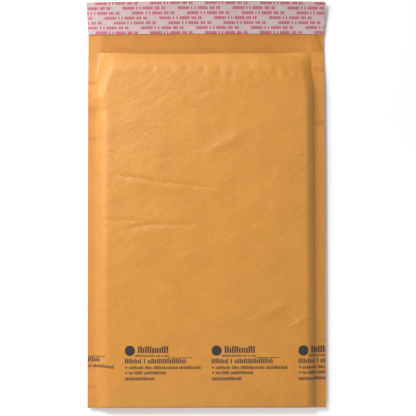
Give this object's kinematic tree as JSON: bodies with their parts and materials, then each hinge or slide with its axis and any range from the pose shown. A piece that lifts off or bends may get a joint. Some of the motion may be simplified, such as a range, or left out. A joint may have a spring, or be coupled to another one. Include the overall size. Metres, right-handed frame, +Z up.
{
  "type": "padded envelope",
  "caption": "Padded kraft mailing envelope with a bubble lining, open mouth and a flap with an adhesive strip under its release liner.",
  "frame": {"origin": "on the table under the centre of the envelope's outline, as it lies on its back wall", "axes": "+X across the envelope, +Y from the bottom fold towards the flap, +Z up out of the front wall"},
  "size_m": [0.2434, 0.413, 0.0128],
  "materials": {
    "kraft_paper": "smooth brown kraft paper, slightly glazed",
    "bubble_film": "thin translucent polyethylene bubble film",
    "adhesive": "tacky amber hot melt",
    "release_paper": "pale silicone-coated release paper with rows of red marks"
  },
  "bodies": {
    "root": {"kraft_envelope": "kraft_paper", "bubble_lining": "bubble_film", "adhesive_strip": "adhesive", "release_liner": "release_paper"}
  },
  "joints": []
}
